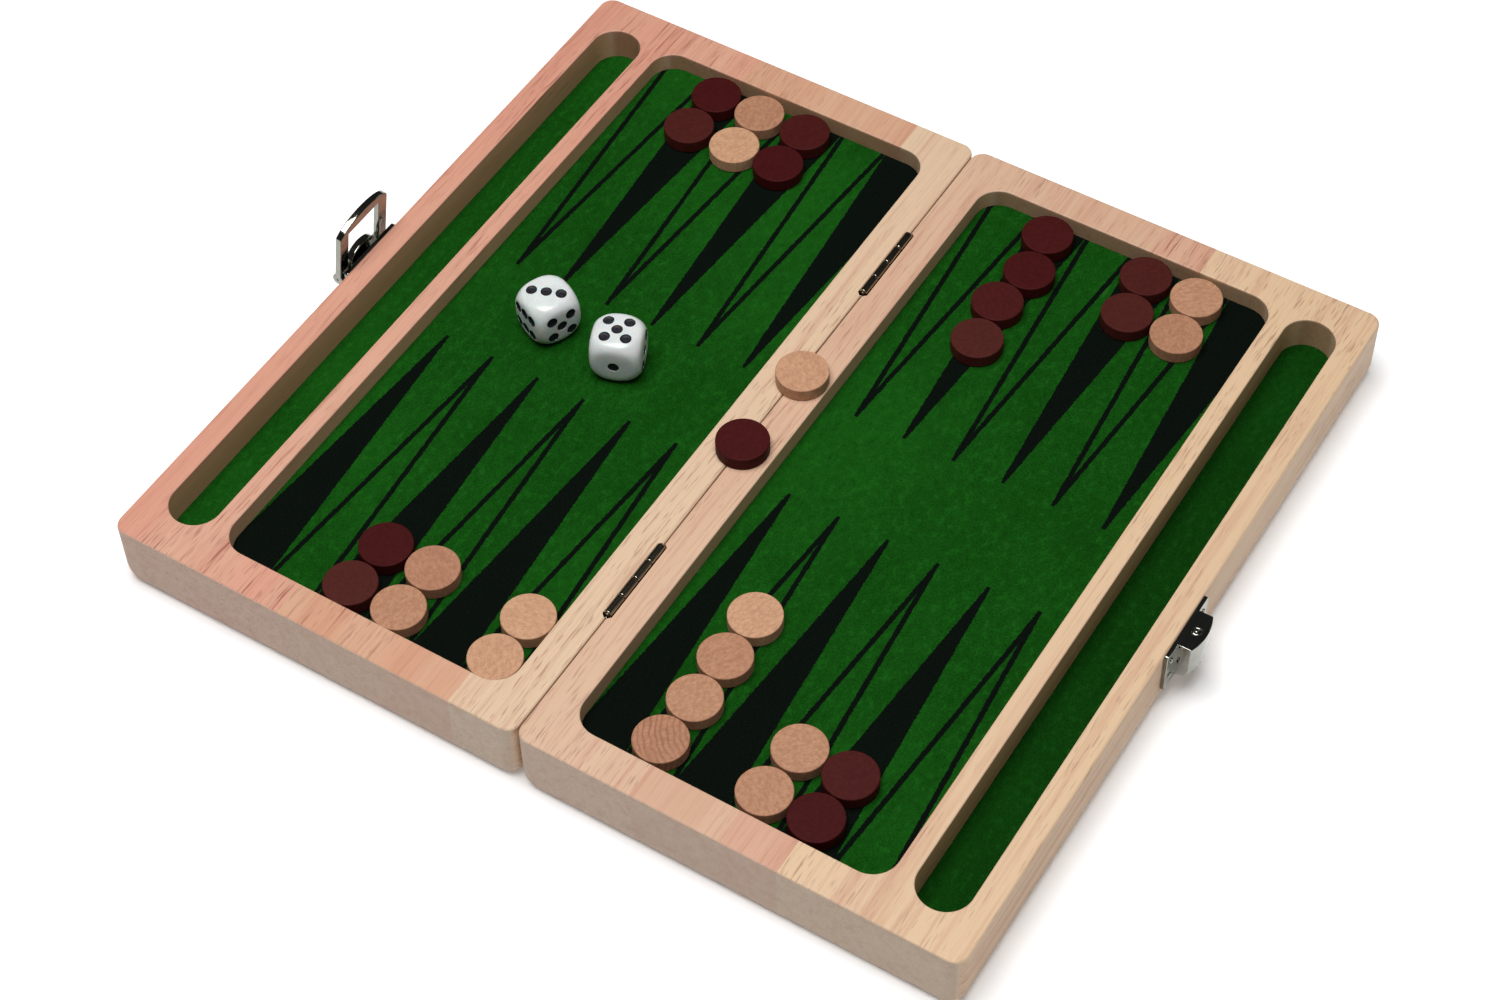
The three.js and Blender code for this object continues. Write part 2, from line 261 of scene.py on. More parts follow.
# The box that holds the routed walls and their painted shade: each face fades in or out between two
# distances
ROUTED_ENDS = (124, 124.5)
ROUTED_INNER = (7, 9)
ROUTED_OUTER = (138.5, 140)
ROUTED_FLOOR = (TOP - 13.5, TOP - 13)
ROUTED_RIM = (TOP - 1.2, TOP - 0.3)


def stave_ramps(s, staves):
    """The colour of the stave at each place across, a seed for its grain, and its streakiness."""
    left = -STAVE_SPAN if staves[0][0] < 0 else 0
    share = s.node("MapRange", {"Value": s.x, "From Min": left * MM,
                                "From Max": (left + STAVE_SPAN) * MM}).outputs[0]
    starts = [left] + [reach for reach, *_ in staves[:-1]]
    colours = []
    streaks = []
    for i, (start, (_, colour, streaky)) in enumerate(zip(starts, staves)):
        at = (start - left) / STAVE_SPAN
        colours.append((at, colour[:3] + (0.13 + 0.2 * i,)))
        streaks.append((at, (streaky, streaky, streaky, 1)))
    stave = s.ramp(share, colours)
    seed = s.math("MULTIPLY", stave.outputs["Alpha"], 40.0)
    return stave.outputs["Color"], seed, s.ramp(share, streaks).outputs[0]


def bent_place(s):
    """The place on the wood, bent slowly aside so that the grain wanders."""
    wander = s.node("TexNoise", {"Vector": s.place, "Scale": 9.0, "Detail": 1.0})
    bent = s.node("VectorMath", {0: wander.outputs["Color"], 1: (0.006, 0.0, 0.006)},
                  operation="MULTIPLY").outputs[0]
    return s.node("VectorMath", {0: s.place, 1: bent}, operation="ADD").outputs[0]


def cut_faces(s, colour, seed):
    """Routed walls in a darker cut-wood colour, partly the wood's own and partly painted shade of
    the pockets, and speckled end grain on the faces outside the pockets' ends.
    """
    split = s.node("SeparateXYZ", {"Vector": s.coordinates.outputs["Normal"]})
    end_grain = s.step(s.math("ABSOLUTE", split.outputs["Y"]), 0.5, 0.9)
    wall_cut_and_shade = s.mix(end_grain, WALL_CUT_AND_SHADE_ALONG, WALL_CUT_AND_SHADE_ACROSS)
    inner = s.fade(s.math("ABSOLUTE", s.y), ROUTED_ENDS, 1.0, 0.0)
    across = s.math("ABSOLUTE", s.x)
    routed_and_shaded = s.math("MULTIPLY", inner, s.fade(s.z, ROUTED_RIM, 1.0, 0.0))
    routed_and_shaded = s.math("MULTIPLY", routed_and_shaded, s.fade(s.z, ROUTED_FLOOR))
    routed_and_shaded = s.math("MULTIPLY", routed_and_shaded, s.fade(across, ROUTED_INNER))
    routed_and_shaded = s.math("MULTIPLY", routed_and_shaded, s.fade(across, ROUTED_OUTER, 1.0, 0.0))
    # Painted shade, partly real: the routed walls take the darker cut-wall colour
    colour = s.mix(s.math("MULTIPLY", routed_and_shaded, 0.6), colour, wall_cut_and_shade)
    outer = s.math("MULTIPLY", end_grain, s.math("SUBTRACT", 1.0, inner))
    speck = s.noise((1500, 1500, 2300), 2, 0.7, seed)
    ends = s.mix(s.step(speck, 0.4, 0.7, 0.15, 0.6), END_PALE, END_DARK)
    return s.mix(s.math("MULTIPLY", outer, 0.66), colour, ends)


def wood_material(name, staves):
    """Pale wood in staves along Y: soft bands, red-brown streaks, open pores and end grain."""
    s = Shader(name, Specular_IOR_Level=0.35)
    colour, seed, streaky = stave_ramps(s, staves)
    place = bent_place(s)
    broad = s.noise((70, 4, 70), 2, 0.5, seed, place)
    bands = s.noise((300, 8, 300), 3, 0.6, seed, place)
    lines = s.noise((1300, 12, 1300), 1, 0.5, seed, place)
    streaks = s.noise((650, 38, 650), 2, 0.65, seed, place)
    pores = s.noise((2000, 150, 2000), 1, 0.5, seed, place)
    patches = s.noise((26, 12, 26), 2, 0.5, seed, place)
    colour = s.mix(s.step(broad, 0.35, 0.7, 0.0, 0.5), colour, WOOD_CLOUD)
    colour = s.mix(s.step(bands, 0.48, 0.7, 0.0, 0.36), colour, WOOD_BAND)
    colour = s.mix(s.step(lines, 0.5, 0.75, 0.0, 0.24), colour, WOOD_LINE)
    strong = s.math("MULTIPLY", s.step(streaks, 0.56, 0.7), s.step(patches, 0.36, 0.6, 0.12, 0.8))
    colour = s.mix(s.math("MULTIPLY", strong, streaky), colour, WOOD_STREAK)
    dashes = s.math("MULTIPLY", s.step(pores, 0.58, 0.7), s.step(patches, 0.35, 0.6, 0.08, 0.5))
    colour = cut_faces(s, s.mix(dashes, colour, WOOD_PORE), seed)
    # Painted highlight, partly wear: rounded edges take a paler colour
    colour = s.mix(s.math("MULTIPLY", s.edge(), 0.3), colour, WOOD_EDGE_WEAR_AND_HIGHLIGHT)
    height = s.math("ADD", s.math("MULTIPLY", pores, 0.6), s.math("MULTIPLY", streaks, 0.8))
    return s.finish(colour, s.step(bands, 0.3, 0.7, 0.42, 0.6), height, 0.06, 0.5)


def burnt_and_shaded_wood_material():
    """Dark wood in the routed slots of the hinges: partly scorched by the router, partly painted
    shade of the deep slots.
    """
    s = Shader("routed_slot", Specular_IOR_Level=0.2)
    grain = s.noise((900, 300, 900), 3, 0.6)
    colour = s.mix(s.step(grain, 0.3, 0.7), srgb(84, 48, 26), srgb(146, 96, 60))
    return s.finish(colour, s.step(grain, 0.3, 0.7, 0.6, 0.85), grain, 0.1)


# Print on the felt: rows of points, tips towards the middle of the board
POINT_COUNT = 6
POINT_PITCH = 17.13
POINT_HALF_BASE = 8.75
POINT_TIP = 18.2         # from the print's middle to the tips
POINT_BLUNT = 0.6        # half the width of a tip
POINT_LINE = 1.65        # line of an outlined point, across the board
PRINT_SOFT = 0.16        # half the width of the print's blurred edge
PRINT_FRAY = 0.9
# The middle of each half's print; lean shifts the far row right and the near row left
PRINTS = {"left": {"middle_x": -62.6, "middle_y": 1.45, "lean": 0.7},
          "right": {"middle_x": 63.1, "middle_y": 2.25, "lean": 0.75}}


def points_mask(s, side):
    """1 where the felt is printed: points in turn solid and outlined, in two rows."""
    layout = PRINTS[side]
    fray = s.noise((900, 900, 900), 2, 0.6)
    fray = s.math("MULTIPLY", s.math("SUBTRACT", fray, 0.5), PRINT_FRAY)
    x_mm = s.math("DIVIDE", s.x, MM)
    from_middle = s.math("SUBTRACT", s.math("DIVIDE", s.y, MM), layout["middle_y"])
    row = s.math("SIGN", from_middle)
    x_print = s.math("SUBTRACT", x_mm, s.math("MULTIPLY_ADD", row, layout["lean"],
                                              layout["middle_x"]))
    column = s.math("MULTIPLY_ADD", x_print, 1 / POINT_PITCH, POINT_COUNT / 2)
    index = s.math("FLOOR", column)
    off_axis = s.math("SUBTRACT", s.math("SUBTRACT", column, index), 0.5)
    off_axis = s.math("MULTIPLY", s.math("ABSOLUTE", off_axis), POINT_PITCH)
    off_axis = s.math("ADD", off_axis, fray)
    depth = s.math("SUBTRACT", s.math("ABSOLUTE", from_middle), POINT_TIP)
    spread = (POINT_HALF_BASE - POINT_BLUNT) / (POCKET_END - POINT_TIP)
    width = s.math("MULTIPLY_ADD", depth, spread, POINT_BLUNT)
    inside = s.math("SUBTRACT", width, off_axis)
    solid = s.math("MULTIPLY", s.step(inside, -PRINT_SOFT, PRINT_SOFT),
                   s.step(depth, -PRINT_SOFT, PRINT_SOFT))
    hollow = s.step(inside, POINT_LINE - PRINT_SOFT, POINT_LINE + PRINT_SOFT)
    outlined = s.math("MODULO", s.math("ADD", index, s.math("MULTIPLY_ADD", row, 0.5, 0.5)), 2.0)
    outlined = s.math("ABSOLUTE", outlined)
    printed = s.math("SUBTRACT", solid, s.math("MULTIPLY", hollow, outlined), clamp=True)
    first = s.step(column, -0.02, 0.0)
    last = s.step(column, POINT_COUNT, POINT_COUNT + 0.02, 1.0, 0.0)
    return s.math("MULTIPLY", printed, s.math("MULTIPLY", first, last))


FELT_LOW = srgb(7, 51, 5)
FELT_HIGH = srgb(20, 77, 16)
FELT_BRUSHED = srgb(8, 48, 5)
FELT_CLOUD = srgb(25, 88, 20)
FELT_WORN = srgb(44, 102, 38)
FELT_TUFT = srgb(26, 92, 22)
FELT_HOLLOW = srgb(5, 40, 3)
FELT_SHEEN = srgb(60, 130, 50)
INK_LOW = srgb(3, 5, 4)
INK_HIGH = srgb(11, 15, 13)


def felt_material(name, side, shade):
    """Flocked green lining: a velvety nap, brushed patches and, on a side's field, the print."""
    s = Shader(name, Specular_IOR_Level=0.03, Sheen_Weight=0.03, Sheen_Roughness=0.5)
    s.surface.inputs["Sheen Tint"].default_value = FELT_SHEEN
    nap = s.noise((1800, 1800, 1800), 3, 0.7)
    brushed = s.noise((60, 26, 60), 4, 0.6)
    cloudy = s.noise((14, 11, 14), 3, 0.55)
    marks = s.noise((240, 60, 240), 3, 0.6, 3.0)
    colour = s.mix(s.step(nap, 0.3, 0.72), FELT_LOW, FELT_HIGH)
    colour = s.mix(s.step(brushed, 0.4, 0.7, 0.0, 0.4), colour, FELT_BRUSHED)
    colour = s.mix(s.step(cloudy, 0.45, 0.75, 0.0, 0.35), colour, FELT_CLOUD)
    worn = s.math("MULTIPLY", s.step(marks, 0.64, 0.78), s.step(cloudy, 0.4, 0.6, 0.1, 0.55))
    colour = s.mix(worn, colour, FELT_WORN)
    tufts = s.noise((520, 380, 520), 3, 0.65)
    colour = s.mix(s.step(tufts, 0.5, 0.7, 0.0, 0.4), colour, FELT_TUFT)
    colour = s.mix(s.step(tufts, 0.3, 0.48, 0.35, 0.0), colour, FELT_HOLLOW)
    colour = s.node("HueSaturation", {"Color": colour, "Value": shade}).outputs[0]
    if side:
        printed = points_mask(s, side)
        ink = s.mix(s.step(nap, 0.3, 0.75), INK_LOW, INK_HIGH)
        colour = s.mix(s.math("MULTIPLY", printed, 0.985), colour, ink)
    height = s.math("ADD", nap, s.math("MULTIPLY", brushed, 0.5))
    return s.finish(colour, s.step(nap, 0.2, 0.8, 0.8, 1.0), height, 0.12, 0.55)


RING_RATE = 3700         # radians a metre, which puts the growth rings 1.7 mm apart


def checker_material(name, pale, dark, pore, specular):
    """Turned disc of wood: speckled end grain, faint growth rings round a far-off heart.
    Each disc carries its own heart, tone and strength of rings as attributes of its mesh."""
    s = Shader(name, Specular_IOR_Level=specular)
    heart = s.node("Attribute", {}, attribute_name="heart").outputs["Vector"]
    tone = s.node("Attribute", {}, attribute_name="tone").outputs["Fac"]
    rings = s.node("Attribute", {}, attribute_name="rings").outputs["Fac"]
    wobble = s.node("TexNoise", {"Vector": s.place, "Scale": 260.0, "Detail": 3.0})
    wobble = s.node("VectorMath", {0: wobble.outputs["Color"], 1: (0.0022, 0.0022, 0.0)},
                    operation="MULTIPLY").outputs[0]
    moved = s.node("VectorMath", {0: s.place, 1: heart}, operation="ADD").outputs[0]
    moved = s.node("VectorMath", {0: moved, 1: wobble}, operation="ADD").outputs[0]
    flat = s.node("VectorMath", {0: moved, 1: (1, 1, 0.12)}, operation="MULTIPLY").outputs[0]
    reach = s.node("VectorMath", {0: flat}, operation="LENGTH").outputs["Value"]
    ring = s.step(s.math("SINE", s.math("MULTIPLY", reach, RING_RATE)), -0.2, 1.0)
    seed = s.math("MULTIPLY", tone, 30.0)
    fine = s.noise((2600, 2600, 700), 2, 0.6, seed)
    mottle = s.noise((700, 1100, 500), 3, 0.65, seed)
    cloud = s.noise((160, 160, 160), 2, 0.5, seed)
    shown = s.math("MULTIPLY", rings, s.step(cloud, 0.3, 0.7, 0.3, 1.0))
    colour = s.mix(s.step(mottle, 0.35, 0.65, 0.0, 0.6), pale, dark)
    colour = s.mix(s.math("MULTIPLY", ring, shown), colour, dark)
    colour = s.mix(s.step(fine, 0.56, 0.74, 0.0, 0.45), colour, pore)
    shade = s.node("HueSaturation", {"Color": colour, "Hue": s.step(tone, 0.0, 1.0, 0.497, 0.508),
                                     "Saturation": s.step(tone, 0.0, 1.0, 1.0, 0.93),
                                     "Value": s.step(tone, 0.0, 1.0, 0.85, 1.15)})
    # Painted highlight, partly wear: the eased rims take the paler colour
    colour = s.mix(s.math("MULTIPLY", s.edge(0.1, 0.28), 0.35), shade.outputs[0], pale)
    height = s.math("ADD", fine, s.math("MULTIPLY", mottle, 0.5))
    return s.finish(colour, s.step(fine, 0.3, 0.7, 0.42, 0.62), height, 0.04, 0.4)


def die_material():
    """White moulded plastic, with a little haze and handling marks."""
    s = Shader("die_white", Coat_Weight=0.1, Coat_Roughness=0.08, Specular_IOR_Level=0.4,
               Subsurface_Weight=0.4, Subsurface_Scale=0.005)
    haze = s.noise((220, 220, 220), 3, 0.6)
    marks = s.noise((1500, 260, 900), 2, 0.6)
    colour = s.mix(s.step(haze, 0.3, 0.7), srgb(207, 212, 211), srgb(197, 203, 202))
    rough = s.step(marks, 0.45, 0.75, 0.2, 0.32)
    return s.finish(colour, rough, marks, 0.01, 0.4)


def pip_material():
    """Black paint in the pips."""
    s = Shader("pip_black", Specular_IOR_Level=0.3)
    paint = s.noise((1400, 1400, 1400), 2, 0.6)
    colour = s.mix(s.step(paint, 0.35, 0.7), srgb(10, 10, 16), srgb(30, 30, 40))
    return s.finish(colour, s.step(paint, 0.3, 0.7, 0.4, 0.6), paint, 0.04, 0.5)


def metal_material(name, bright, dull, roughness, scratch, edge_wear_and_highlight):
    """Plated steel: fine scratches, haze, and paler rounded edges, partly rubbed plating and partly
    painted highlight.
    """
    s = Shader(name, Metallic=1.0)
    lines = s.noise((3000, 140, 3000), 2, 0.6)
    haze = s.noise((300, 300, 300), 3, 0.6)
    colour = s.mix(s.step(haze, 0.35, 0.7), bright, dull)
    # Painted highlight, partly rubbed plating: rounded edges and rims take a paler colour
    colour = s.mix(s.math("MULTIPLY", s.edge(), edge_wear_and_highlight), colour, srgb(205, 203, 196))
    rough = s.math("ADD", s.step(lines, 0.45, 0.75, 0.0, 0.1),
                   s.step(haze, 0.3, 0.7, roughness, roughness + 0.06))
    return s.finish(colour, rough, lines, scratch, 0.2)


def floor_material():
    """White acrylic shooting table, faintly lit from below."""
    s = Shader("floor", Specular_IOR_Level=0.1, Emission_Strength=0.16)
    s.surface.inputs["Emission Color"].default_value = srgb(246, 246, 246)
    grain = s.noise((40, 40, 40), 2, 0.5)
    colour = s.mix(s.step(grain, 0.3, 0.7), srgb(246, 246, 246), srgb(243, 243, 244))
    return s.finish(colour, s.step(grain, 0.3, 0.7, 0.85, 0.95))


# ---------------------------------------- mesh helpers

def rounded_rect(x0, x1, y0, y1, radius, steps):
    """Corner arcs of a rectangle, counter-clockwise."""
    corners = [(x1 - radius, y1 - radius), (x0 + radius, y1 - radius),
               (x0 + radius, y0 + radius), (x1 - radius, y0 + radius)]
    points = []
    for quarter, (cx, cy) in enumerate(corners):
        for i in range(steps + 1):
            a = (quarter + i / steps) * math.pi / 2
            points.append((cx + radius * math.cos(a), cy + radius * math.sin(a)))
    return points


def circle(radius, steps):
    turns = [2 * math.pi * i / steps for i in range(steps)]
    return [(radius * math.cos(a), radius * math.sin(a)) for a in turns]


def loft(rings):
    """A closed mesh through rings of equal point counts, bottom to top."""
    bm = bmesh.new()
    made = [[bm.verts.new(p) for p in ring] for ring in rings]
    for low, high in zip(made, made[1:]):
        for i in range(len(low)):
            j = (i + 1) % len(low)
            bm.faces.new((low[i], low[j], high[j], high[i]))
    bm.faces.new(list(reversed(made[0])))
    bm.faces.new(made[-1])
    return bm


def prism(points, z0, z1):
    return loft([[(x, y, z) for x, y in points] for z in (z0, z1)])


def standing(points, x0, x1):
    """An outline in the Y-Z plane, its thickness along X."""
    return loft([[(x, y, z) for y, z in points] for x in (x0, x1)])


def along(points, y0, y1):
    """An outline in the X-Z plane, its thickness along Y."""
    return loft([[(x, y, z) for x, z in points] for y in (y0, y1)])


def turned(profile, steps):
    """A solid of revolution about Z from (radius, height) pairs; it starts and ends on the axis."""
    bm = bmesh.new()
    rings = []
    for radius, z in profile:
        if radius == 0:
            rings.append([bm.verts.new((0, 0, z))])
        else:
            rings.append([bm.verts.new((x, y, z)) for x, y in circle(radius, steps)])
    for low, high in zip(rings, rings[1:]):
        for i in range(steps):
            j = (i + 1) % steps
            corners = [low[i % len(low)], low[j % len(low)], high[j % len(high)],
                       high[i % len(high)]]
            bm.faces.new(list(dict.fromkeys(corners)))
    bmesh.ops.recalc_face_normals(bm, faces=bm.faces)
    return bm


def bevelled(bm, width, segments=3, sharp=35):
    """Round every edge sharper than so many degrees."""
    bmesh.ops.recalc_face_normals(bm, faces=bm.faces)
    edges = [e for e in bm.edges if e.calc_face_angle(0) > math.radians(sharp)]
    bmesh.ops.bevel(bm, geom=edges, offset=width, offset_type="OFFSET", segments=segments,
                    profile=0.5, affect="EDGES", clamp_overlap=True)
    return bm


def moved(bm, matrix):
    bm.transform(matrix)
    return bm


def to_object(name, bm):
    """A mesh in millimetres becomes an object in metres."""
    bmesh.ops.recalc_face_normals(bm, faces=bm.faces)
    bm.transform(Matrix.Scale(MM, 4))
    mesh = bpy.data.meshes.new(name)
    bm.to_mesh(mesh)
    bm.free()
    made = bpy.data.objects.new(name, mesh)
    bpy.context.scene.collection.objects.link(made)
    return made


def combine(target, tools, operation):
    """Cut the tools out of the target, or join them to it."""
    for tool in tools:
        change = target.modifiers.new("change", "BOOLEAN")
        change.operation = operation
        change.solver = "EXACT"
        change.object = tool
    bpy.context.view_layer.update()
    done = bpy.data.meshes.new_from_object(
        target.evaluated_get(bpy.context.evaluated_depsgraph_get()))
    target.modifiers.clear()
    old = target.data
    target.data = done
    bpy.data.meshes.remove(old)
    for tool in tools:
        mesh = tool.data
        bpy.data.objects.remove(tool)
        bpy.data.meshes.remove(mesh)
    return target


def joined(name, solids):
    target, *others = [to_object(name, bm) for bm in solids]
    return combine(target, others, "UNION")


def without(target, cutters):
    tools = [to_object("cutter", bm) for bm in cutters]
    return combine(target, tools, "DIFFERENCE")


def piece(made, node, body, slot, *materials, sharp=32):
    """The finished object takes its materials and shading, stands for its node and rides."""
    mesh = made.data
    which = [face.material_index for face in mesh.polygons]
    mesh.materials.clear()
    for material in materials:
        mesh.materials.append(material)
    mesh.polygons.foreach_set("material_index", which)
    mesh.shade_smooth()
    mesh.set_sharp_from_angle(angle=math.radians(sharp))
    even = made.modifiers.new("even", "WEIGHTED_NORMAL")
    even.keep_sharp = True
    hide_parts(node)
    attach(made, body)
    return made


BODY_OF = {node: body for body, nodes in frame["record"]["behaviour"]["bodies"].items()
           for node in nodes}

# ---------------------------------------- board halves

PLAN_RADIUS = 4.5
TOP_EASE = 0.8
POCKET_EASE = 0.45
POCKET_RADIUS = 8.4
UNDER_SIDE, UNDER_END, UNDER_RISE = 4.8, 2.4, 7.2
MORTISE_HALF, MORTISE_LENGTH, MORTISE_DEPTH, MORTISE_CLIP = 1.65, 31.4, 3.2, 0.9
LEAF_RECESS = 1.3        # how far the slot for a hinge leaf goes into the seam face
LEAF_DEPTH = 13.3
LEAF_INSET = 0.7         # the leaf's slot is shorter than the mortise by this at each end


def pocket_cutter(low, high):
    """A routed pocket whose upper edge flares by a small round."""
    x0, x1 = low.x - FELT_GAP, high.x + FELT_GAP
    end = high.y + FELT_GAP

    def ring(flare, z):
        outline = rounded_rect(x0 - flare, x1 + flare, -end - flare, end + flare,
                               POCKET_RADIUS + flare, 14)
        return [(x, y, z) for x, y in outline]

    rings = [ring(0, low.z - LIE_GAP)]
    for i in range(5):
        a = math.radians(i * 20)
        rings.append(ring(POCKET_EASE * (1 - math.cos(a)), TOP - POCKET_EASE * (1 - math.sin(a))))
    rings.append(ring(POCKET_EASE, TOP + 1))
    return loft(rings)


def mortise_cutter(middle):
    """The slot in the top that the knuckles lie in, with clipped corners."""
    half, reach, clip = MORTISE_LENGTH / 2, MORTISE_HALF, MORTISE_CLIP
    outline = [(-reach, clip - half), (clip - reach, -half), (reach - clip, -half),
               (reach, clip - half), (reach, half - clip), (reach - clip, half),
               (clip - reach, half), (-reach, half - clip)]
    return prism([(x, middle + y) for x, y in outline], TOP - MORTISE_DEPTH, TOP + 1)


def leaf_cutter(middle):
    """The slot in the seam face that a hinge leaf is let into."""
    reach = MORTISE_LENGTH / 2 - LEAF_INSET
    outline = [(x * LEAF_RECESS, middle + y * reach)
               for x, y in rounded_rect(-1, 1, -1, 1, 0.2, 2)]
    return prism(outline, TOP - LEAF_DEPTH, TOP - 1)


def in_burnt_and_shaded_slot(centre, hinges):
    """Whether a face belongs to a hinge's slot, where the wood is painted dark: partly router burn,
    partly painted shade.
    """
    x, y, z = centre
    near = any(abs(y - middle) < MORTISE_LENGTH / 2 - 0.01 for middle in hinges)
    in_slot = near and abs(x) < MORTISE_HALF + 0.01 and z < TOP - 0.05
    return in_slot and (z > TOP - MORTISE_DEPTH - 0.1 or abs(x) > 0.3)


def board(name, side):
    """Half of the set with rounded underside, pockets and hinge slots; side -1 is the left one."""
    def ring(inset_x, inset_y, z):
        x0, x1 = SEAM + inset_x, HALF_WIDTH - inset_x
        half = HALF_LENGTH - inset_y
        outline = rounded_rect(x0, x1, -half, half, PLAN_RADIUS - inset_y * 0.5, 10)
        return [(x, y, z) for x, y in outline]

    rings = []
    for i in range(11):
        a = math.radians(i * 9)
        rings.append(ring(UNDER_SIDE * (1 - math.sin(a)), UNDER_END * (1 - math.sin(a)),
                          UNDER_RISE * (1 - math.cos(a))))
    for i in range(6):
        a = math.radians(i * 18)
        inset = TOP_EASE * (1 - math.cos(a))
        rings.append(ring(inset, inset, TOP - TOP_EASE * (1 - math.sin(a))))
    solid = loft(rings)
    mirror = Matrix.Scale(side, 4, (1, 0, 0))
    half_name = "left" if side < 0 else "right"
    cutters = [pocket_cutter(*node_box(f"{half_name}_{what}_felt")) for what in ("field", "tray")]
    hinges = [node_centre(f"hinge_{where}_pin").y for where in ("front", "back")]
    for middle in hinges:
        cutters += [mortise_cutter(middle), leaf_cutter(middle)]
    made = without(to_object(f"{name}_wood", moved(solid, mirror)), cutters)
    # Hinge slots take the dark wood: partly router burn, partly painted shade
    for face in made.data.polygons:
        face.material_index = int(in_burnt_and_shaded_slot(face.center / MM, hinges))
    return made


def make_boards():
    # Dark wood for the hinge slots, partly painted shade
    slot_burn_and_shade = burnt_and_shaded_wood_material()
    for name, side, staves in (("left_board", -1, LEFT_STAVES), ("right_board", 1, RIGHT_STAVES)):
        piece(board(name, side), name, BODY_OF[name], "wood",
              wood_material(f"{name}_wood", staves), slot_burn_and_shade)


# ---------------------------------------- felt linings

FELT_CELL = 2.4
FELT_ROLL = 0.12         # rounding of the felt's cut edge
FELT_WAVE = 0.05         # depth of the slow dips in its face
RIGHT_TRAY_SHADE = 0.62  # brightness of that lining's colours beside the others'


def felt_grid(bm, low, high, z):
    """One face's points: rows across the pocket, closer together at its round ends."""
    radius = POCKET_RADIUS - FELT_GAP
    middle, half_x, end = (low.x + high.x) / 2, (high.x - low.x) / 2, high.y
    columns = max(8, round(2 * half_x / FELT_CELL))
    round_end = [end - radius * (1 - math.cos(math.radians(a))) for a in range(0, 90, 9)]
    cells = round(2 * (end - radius) / FELT_CELL)
    straight = [(end - radius) * (1 - 2 * i / cells) for i in range(cells + 1)]
    grid = []
    for y in round_end + straight + [-y for y in reversed(round_end)]:
        into = max(0.0, abs(y) - (end - radius))
        width = half_x - radius + math.sqrt(max(0.0, radius ** 2 - into ** 2))
        reach = max(width, half_x - radius + 0.02)
        line = []
        for i in range(columns + 1):
            x = middle + reach * (2 * i / columns - 1)
            wave = math.sin(x * 0.31 + y * 0.17) * math.sin(y * 0.23 - x * 0.11)
            lift = FELT_WAVE * (wave - 1) * 0.5 if z == high.z else 0.0
            line.append(bm.verts.new((x, y, z + lift)))
        grid.append(line)
    return grid


def felt(name):
    """A thin sheet that lies on its pocket's floor: two faces and the rim between them."""
    low, high = node_box(name)
    bm = bmesh.new()
    bottom, top = [felt_grid(bm, low, high, z) for z in (low.z, high.z)]
    last_row, last = len(bottom) - 1, len(bottom[0]) - 1
    for level, sheet in enumerate((bottom, top)):
        for upper, lower in zip(sheet, sheet[1:]):
            for i in range(last):
                corners = (upper[i], lower[i], lower[i + 1], upper[i + 1])
                bm.faces.new(corners if level else reversed(corners))
    rim = [(0, i) for i in range(last + 1)]
    rim += [(j, last) for j in range(1, last_row + 1)]
    rim += [(last_row, i) for i in range(last - 1, -1, -1)]
    rim += [(j, 0) for j in range(last_row - 1, 0, -1)]
    for (j0, i0), (j1, i1) in zip(rim, rim[1:] + rim[:1]):
        bm.faces.new((bottom[j0][i0], bottom[j1][i1], top[j1][i1], top[j0][i0]))
    edges = [e for e in bm.edges if e.calc_face_angle(0) > math.radians(60)
             and min(v.co.z for v in e.verts) > low.z + 0.3]
    bmesh.ops.bevel(bm, geom=edges, offset=FELT_ROLL, segments=2, profile=0.5, affect="EDGES")
    return to_object(f"{name}_lining", bm)


def make_felts():
    for side in ("left", "right"):
        for what in ("field", "tray"):
            name = f"{side}_{what}_felt"
            print_side = side if what == "field" else None
            shade = RIGHT_TRAY_SHADE if name == "right_tray_felt" else 1.0
            made = piece(felt(name), name, BODY_OF[name], "felt",
                         felt_material(f"{name}_flock", print_side, shade))


# ---------------------------------------- checkers

CHECKER_EASE = 0.42
CHECKER_STEPS = 72
# Discs that are clearly darker or paler than the rest: 0 is dark, 1 is pale
CHECKER_TONES = {"checker_light_03": 0.05, "checker_light_09": 0.97, "checker_light_12": 0.15}
CHECKER_RINGED = "checker_light_12"


def checker_profile(radius, thick):
    """Half of a disc's section, with both rims eased."""
    profile = [(0, 0)]
    for base, sign in ((CHECKER_EASE, -1), (thick - CHECKER_EASE, 1)):
        turns = [math.radians(i * 22.5) for i in range(5)]
        if sign < 0:
            turns.reverse()
        for a in turns:
            profile.append((radius - CHECKER_EASE * (1 - math.cos(a)),
                            base + sign * CHECKER_EASE * math.sin(a)))
    profile.append((0, thick))
    return profile


def write_attribute(mesh, name, kind, field, value):
    """One value on every vertex of a mesh, for its material to read."""
    made = mesh.attributes.new(name, kind, "POINT")
    made.data.foreach_set(field, value * len(mesh.vertices))


